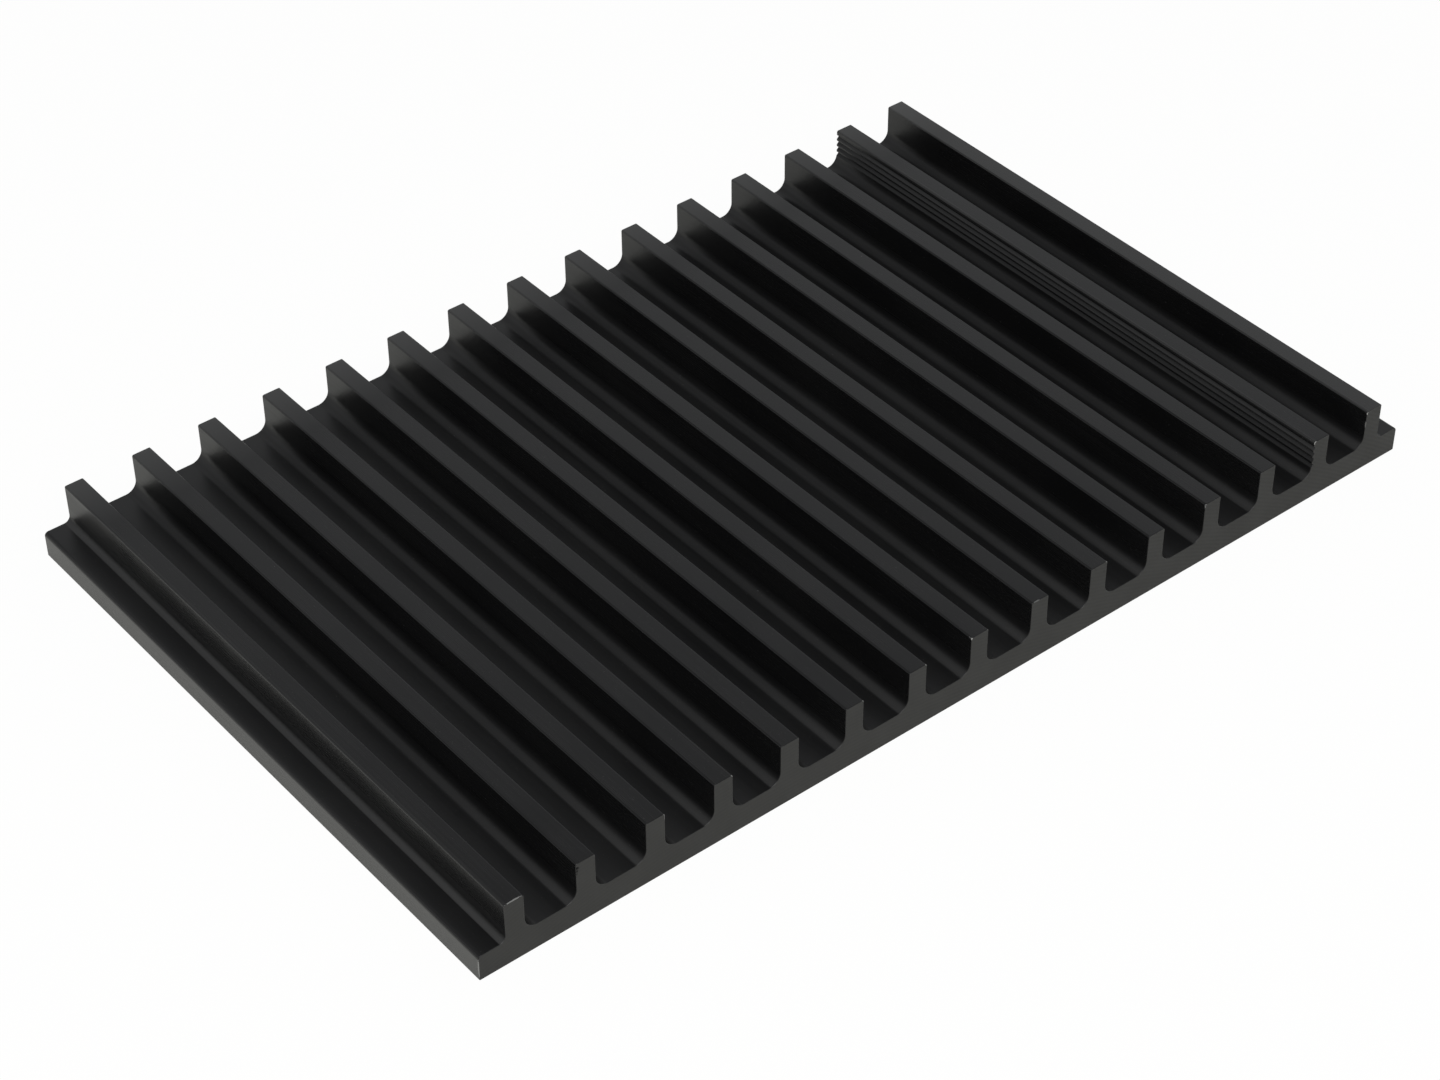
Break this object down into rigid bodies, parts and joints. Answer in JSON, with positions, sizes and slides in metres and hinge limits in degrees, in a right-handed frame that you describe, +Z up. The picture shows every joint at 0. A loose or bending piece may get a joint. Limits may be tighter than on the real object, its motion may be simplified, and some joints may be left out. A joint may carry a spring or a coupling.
{
  "type": "heat sink",
  "caption": "Flat black heat sink: one aluminium extrusion with straight upright fins on a plate, cooled by air along the channels, flat underside for the hot part.",
  "frame": {"origin": "middle of the flat underside", "axes": "+X across the fins, towards the end with the grooved fin; +Y along the fins and channels; +Z up, from the underside to the fin tips"},
  "size_m": [0.158, 0.1, 0.01],
  "materials": {
    "black_anodised": "satin black anodised"
  },
  "bodies": {
    "root": {"heat_sink": "black_anodised"}
  },
  "joints": []
}
